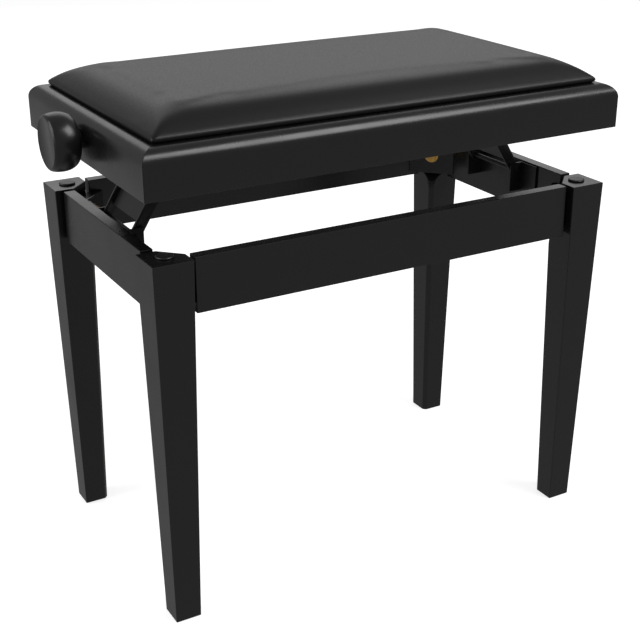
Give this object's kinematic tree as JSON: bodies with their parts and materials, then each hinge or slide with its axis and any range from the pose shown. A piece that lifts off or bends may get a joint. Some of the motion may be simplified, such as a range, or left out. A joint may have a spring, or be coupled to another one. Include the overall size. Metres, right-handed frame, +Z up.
{
  "type": "adjustable piano bench",
  "caption": "Single-seat piano bench with tapered legs, a padded top and a side knob that winds the seat up and down on screw-driven lever linkages.",
  "frame": {"origin": "on the floor, under the centre of the whole bench's box, the knob included; the middle of the seat and base is 17.5 mm toward +X from it", "axes": "+X along the bench's length, away from the knob; +Y from the front to the back; +Z up"},
  "size_m": [0.597, 0.332, 0.551],
  "materials": {
    "black_lacquer": "satin black lacquer on hardwood",
    "black_leatherette": "black leatherette with a fine grain, over foam",
    "black_steel": "black painted sheet and bar",
    "bright_steel": "bright zinc-plated steel",
    "yellow_zinc": "yellow zinc-plated steel",
    "black_rubber": "black rubber",
    "plywood": "birch plywood stained black"
  },
  "bodies": {
    "base": {"leg_back_right": "black_lacquer", "leg_back_left": "black_lacquer", "leg_front_right": "black_lacquer", "leg_front_left": "black_lacquer", "apron_back": "black_lacquer", "apron_front": "black_lacquer", "apron_right": "black_lacquer", "apron_left": "black_lacquer", "corner_block_back_right": "black_lacquer", "corner_block_back_left": "black_lacquer", "corner_block_front_right": "black_lacquer", "corner_block_front_left": "black_lacquer", "hanger_bolt_back_right": "yellow_zinc", "hanger_bolt_back_left": "yellow_zinc", "hanger_bolt_front_right": "yellow_zinc", "hanger_bolt_front_left": "yellow_zinc", "leg_nut_back_right": "yellow_zinc", "leg_nut_back_left": "yellow_zinc", "leg_nut_front_right": "yellow_zinc", "leg_nut_front_left": "yellow_zinc", "rest_pad_back_right": "black_rubber", "rest_pad_back_left": "black_rubber", "rest_pad_front_right": "black_rubber", "rest_pad_front_left": "black_rubber", "base_bracket_back_right": "black_steel", "base_bracket_back_left": "black_steel", "base_bracket_front_right": "black_steel", "base_bracket_front_left": "black_steel", "lever_pivot_rod_right": "black_steel", "lever_pivot_rod_left": "black_steel"},
    "seat": {"rail_back": "black_lacquer", "rail_front": "black_lacquer", "rail_right": "black_lacquer", "rail_left": "black_lacquer", "seat_board": "plywood", "cushion": "black_leatherette", "seat_bracket_back_right": "black_steel", "seat_bracket_back_left": "black_steel", "seat_bracket_front_right": "black_steel", "seat_bracket_front_left": "black_steel", "spindle_bearing_right": "black_steel", "spindle_bearing_left": "black_steel"},
    "screw": {"spindle": "bright_steel", "spindle_collar": "bright_steel", "knob": "black_lacquer"},
    "lever_right": {"lever_bar_back_right": "black_steel", "lever_bar_front_right": "black_steel", "lever_web_right": "black_steel"},
    "link_right": {"link_bar_back_right": "black_steel", "link_bar_front_right": "black_steel"},
    "nut_right": {"spindle_nut_right": "bright_steel"},
    "lever_left": {"lever_bar_back_left": "black_steel", "lever_bar_front_left": "black_steel", "lever_web_left": "black_steel"},
    "link_left": {"link_bar_back_left": "black_steel", "link_bar_front_left": "black_steel"},
    "nut_left": {"spindle_nut_left": "bright_steel"}
  },
  "joints": [
    {"name": "seat_lift", "type": "slide", "parent": "base", "child": "seat", "axis": [0, 0, 1], "range_m": [-0.06, 0.005]},
    {"name": "spindle_turn", "type": "hinge", "parent": "seat", "child": "screw", "pos_m": [0.0175, 0, 0.4955], "axis": [1, 0, 0], "range_deg": [-4800, 420]},
    {"name": "lever_right_swing", "type": "hinge", "parent": "base", "child": "lever_right", "pos_m": [0.2615, 0, 0.3975], "axis": [0, 1, 0], "range_deg": [-39.8, 3.5]},
    {"name": "link_right_swing", "type": "hinge", "parent": "seat", "child": "link_right", "pos_m": [0.2615, 0, 0.4955], "axis": [0, 1, 0], "range_deg": [-3.5, 39.8]},
    {"name": "nut_right_travel", "type": "slide", "parent": "seat", "child": "nut_right", "axis": [1, 0, 0], "range_m": [-0.0532, 0.0046]},
    {"name": "lever_left_swing", "type": "hinge", "parent": "base", "child": "lever_left", "pos_m": [-0.2265, 0, 0.3975], "axis": [0, 1, 0], "range_deg": [-3.5, 39.8]},
    {"name": "link_left_swing", "type": "hinge", "parent": "seat", "child": "link_left", "pos_m": [-0.2265, 0, 0.4955], "axis": [0, 1, 0], "range_deg": [-39.8, 3.5]},
    {"name": "nut_left_travel", "type": "slide", "parent": "seat", "child": "nut_left", "axis": [1, 0, 0], "range_m": [-0.0046, 0.0532]}
  ],
  "couplings": [
    {"joint": "spindle_turn", "follows": "seat_lift", "rad_per_m": 1390.2},
    {"joint": "lever_right_swing", "follows": "seat_lift", "rad_per_m": 11.53},
    {"joint": "link_right_swing", "follows": "seat_lift", "rad_per_m": -11.53},
    {"joint": "nut_right_travel", "follows": "seat_lift", "ratio": 0.885},
    {"joint": "lever_left_swing", "follows": "seat_lift", "rad_per_m": -11.53},
    {"joint": "link_left_swing", "follows": "seat_lift", "rad_per_m": 11.53},
    {"joint": "nut_left_travel", "follows": "seat_lift", "ratio": -0.885}
  ]
}
